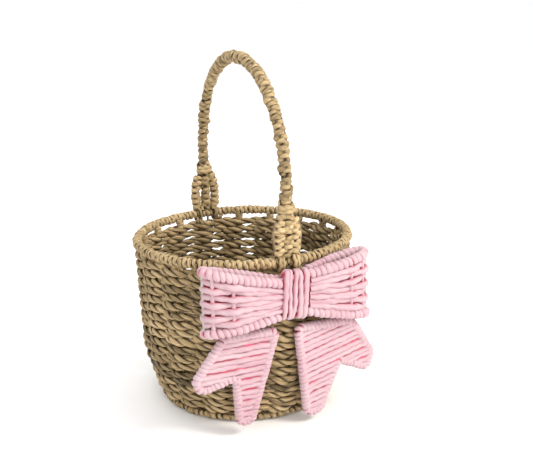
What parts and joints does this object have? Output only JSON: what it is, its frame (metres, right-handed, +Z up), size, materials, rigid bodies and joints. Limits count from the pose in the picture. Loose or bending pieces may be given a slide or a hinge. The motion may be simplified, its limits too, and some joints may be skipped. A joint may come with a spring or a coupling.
{
  "type": "easter_basket",
  "caption": "Round seagrass gift basket on a wire frame, with a tall fixed wound handle and a woven pink paper-cord bow on the front",
  "frame": {"origin": "centre of the flat ring on which the foot stands, on the basket's own axis", "axes": "+Z up along the basket's axis; the bow faces -Y; the handle's arch lies in the YZ plane; +X completes the right-handed frame"},
  "size_m": [0.2164, 0.2434, 0.3396],
  "materials": {
    "seagrass": "matte",
    "paper_cord": "matte",
    "frame_wire": "satin",
    "bow_wire": "satin",
    "tie_string": "matte"
  },
  "bodies": {
    "root": {"top_ring_wire": "frame_wire", "base_ring_wire": "frame_wire", "hub_ring_wire": "frame_wire", "rib_wires": "frame_wire", "handle_wire": "frame_wire", "wall_row_01": "seagrass", "wall_row_02": "seagrass", "wall_row_03": "seagrass", "wall_row_04": "seagrass", "wall_row_05": "seagrass", "wall_row_06": "seagrass", "wall_row_07": "seagrass", "wall_row_08": "seagrass", "wall_row_09": "seagrass", "wall_row_10": "seagrass", "wall_row_11": "seagrass", "wall_row_12": "seagrass", "wall_row_13": "seagrass", "wall_row_14": "seagrass", "wall_row_15": "seagrass", "wall_row_16": "seagrass", "wall_row_17": "seagrass", "base_row_01": "seagrass", "base_row_02": "seagrass", "base_row_03": "seagrass", "base_row_04": "seagrass", "base_row_05": "seagrass", "base_row_06": "seagrass", "base_row_07": "seagrass", "base_centre_coil": "seagrass", "rim_wrap": "seagrass", "foot_wrap": "seagrass", "rib_bindings": "seagrass", "handle_wrap": "seagrass", "handle_foot_wires_front": "frame_wire", "handle_foot_wraps_front": "seagrass", "handle_knot_front": "seagrass", "handle_lashings_front": "seagrass", "handle_foot_wires_back": "frame_wire", "handle_foot_wraps_back": "seagrass", "handle_knot_back": "seagrass", "handle_lashings_back": "seagrass", "bow_left_loop_frame": "bow_wire", "bow_left_tail_frame": "bow_wire", "bow_left_top_border": "paper_cord", "bow_left_bottom_border": "paper_cord", "bow_left_loop_panel": "paper_cord", "bow_left_tail_weave": "paper_cord", "bow_right_loop_frame": "bow_wire", "bow_right_tail_frame": "bow_wire", "bow_right_top_border": "paper_cord", "bow_right_bottom_border": "paper_cord", "bow_right_loop_panel": "paper_cord", "bow_right_tail_weave": "paper_cord", "bow_knot_core": "paper_cord", "bow_knot_wraps": "paper_cord", "bow_ties": "tie_string"}
  },
  "joints": []
}
